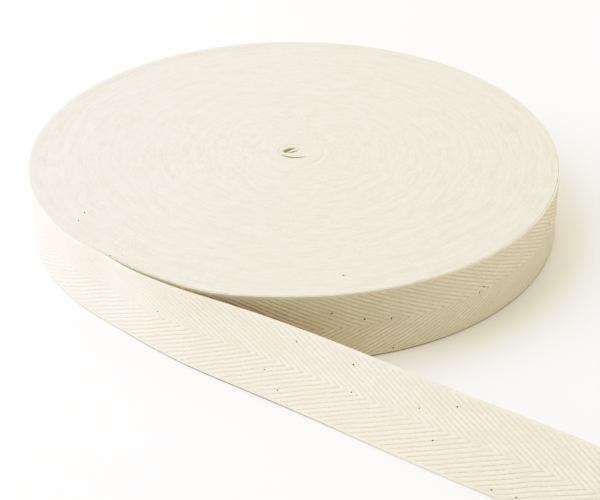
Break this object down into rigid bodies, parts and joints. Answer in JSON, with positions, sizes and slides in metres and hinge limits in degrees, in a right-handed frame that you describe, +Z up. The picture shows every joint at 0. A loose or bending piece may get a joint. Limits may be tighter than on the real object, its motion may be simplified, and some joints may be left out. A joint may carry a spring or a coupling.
{
  "type": "roll of woven tape",
  "caption": "Flat coreless roll of unbleached cotton herringbone twill tape, lying on its side, with its loose end paid out on edge.",
  "frame": {"origin": "bottom centre of the box round the roll and its loose end, on the surface that they stand on", "axes": "+Z up along the roll's axis and the shortest side, +Y away from the loose end, +X to the right of a viewer who faces the loose end"},
  "size_m": [0.1896, 0.275, 0.025],
  "materials": {
    "wound_cotton": "matt selvedges of unbleached cotton tape, packed edge to edge",
    "woven_cotton": "matt unbleached cotton in herringbone twill, with a few dark seed flecks"
  },
  "bodies": {
    "root": {"wound_roll": "wound_cotton", "loose_end": "woven_cotton"}
  },
  "joints": []
}
